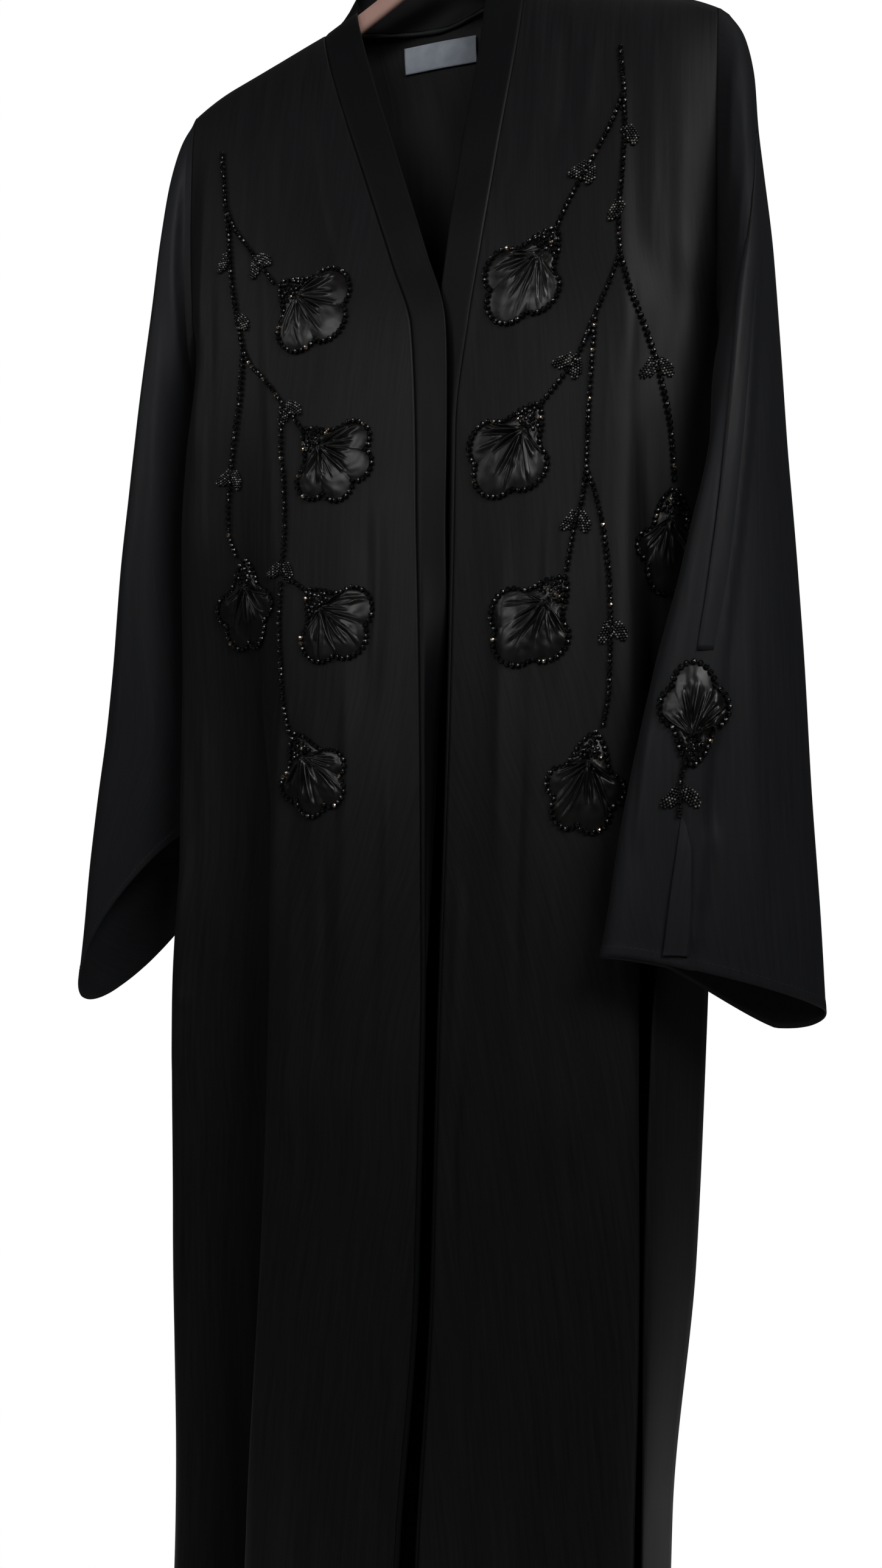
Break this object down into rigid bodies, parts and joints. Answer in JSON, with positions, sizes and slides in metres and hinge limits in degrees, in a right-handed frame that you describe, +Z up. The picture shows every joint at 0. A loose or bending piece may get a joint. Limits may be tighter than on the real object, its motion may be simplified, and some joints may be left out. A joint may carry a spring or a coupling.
{
  "type": "open-front abaya on a clothes hanger",
  "caption": "Long open-front abaya hanging from a plain hanger: two fronts with neck bands, wide sleeves, a standing neck band and gathered applique flowers.",
  "frame": {"origin": "inner top of the hanger's hook, where it rests on a rail", "axes": "+Z up, -Y to the front of the garment, +X to the wearer's left"},
  "size_m": [0.5796, 0.1849, 1.5291],
  "materials": {
    "cloth": "soft black crepe satin with a fine vertical grain",
    "band_cloth": "smooth black satin",
    "flower_fabric": "glossy gathered organza with black glass beads",
    "label_cloth": "woven, bare",
    "hanger_plastic": "soft-touch salmon pink",
    "hook_metal": "bright wire"
  },
  "bodies": {
    "root": {"front_right": "cloth", "front_left": "cloth", "back": "cloth", "sleeve_right": "cloth", "sleeve_left": "cloth", "band_right": "band_cloth", "band_left": "band_cloth", "band_neck": "band_cloth", "flower_right_1": "flower_fabric", "flower_right_2": "flower_fabric", "flower_right_3": "flower_fabric", "flower_right_4": "flower_fabric", "flower_right_5": "flower_fabric", "flower_left_1": "flower_fabric", "flower_left_2": "flower_fabric", "flower_left_3": "flower_fabric", "flower_left_4": "flower_fabric", "flower_left_5": "flower_fabric", "flower_left_sleeve": "flower_fabric", "neck_label": "label_cloth", "hanger_arms": "hanger_plastic", "hanger_hook": "hook_metal"}
  },
  "joints": []
}
